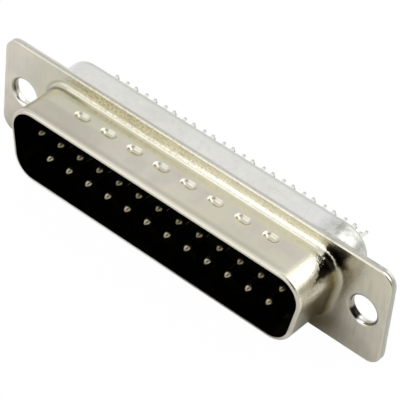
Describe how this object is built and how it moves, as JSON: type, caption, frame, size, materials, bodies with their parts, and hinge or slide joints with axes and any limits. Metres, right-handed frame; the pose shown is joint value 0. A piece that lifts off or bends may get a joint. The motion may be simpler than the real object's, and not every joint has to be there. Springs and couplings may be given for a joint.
{
  "type": "d-sub connector",
  "caption": "D-sub plug with two drawn metal shells, a flange with two mounting holes, two rows of pins inside a D-shaped collar, and solder cups at the back.",
  "frame": {"origin": "midway between the two mounting holes, on the front face of the flange", "axes": "+X along the length, -Y out of the mouth towards the mating connector, +Z towards the wide side of the D"},
  "size_m": [0.053, 0.0143, 0.0126],
  "materials": {
    "front_plating": "satin nickel plating over drawn steel",
    "rear_plating": "satin tin plating over drawn steel",
    "insulator": "black moulded plastic",
    "contact_gold": "gold flash over brass, silvery at the solder cup"
  },
  "bodies": {
    "root": {"front_shell": "front_plating", "rear_shell": "rear_plating", "front_insulator": "insulator", "rear_insulator": "insulator", "contact_01": "contact_gold", "contact_02": "contact_gold", "contact_03": "contact_gold", "contact_04": "contact_gold", "contact_05": "contact_gold", "contact_06": "contact_gold", "contact_07": "contact_gold", "contact_08": "contact_gold", "contact_09": "contact_gold", "contact_10": "contact_gold", "contact_11": "contact_gold", "contact_12": "contact_gold", "contact_13": "contact_gold", "contact_14": "contact_gold", "contact_15": "contact_gold", "contact_16": "contact_gold", "contact_17": "contact_gold", "contact_18": "contact_gold", "contact_19": "contact_gold", "contact_20": "contact_gold", "contact_21": "contact_gold", "contact_22": "contact_gold", "contact_23": "contact_gold", "contact_24": "contact_gold", "contact_25": "contact_gold"}
  },
  "joints": []
}
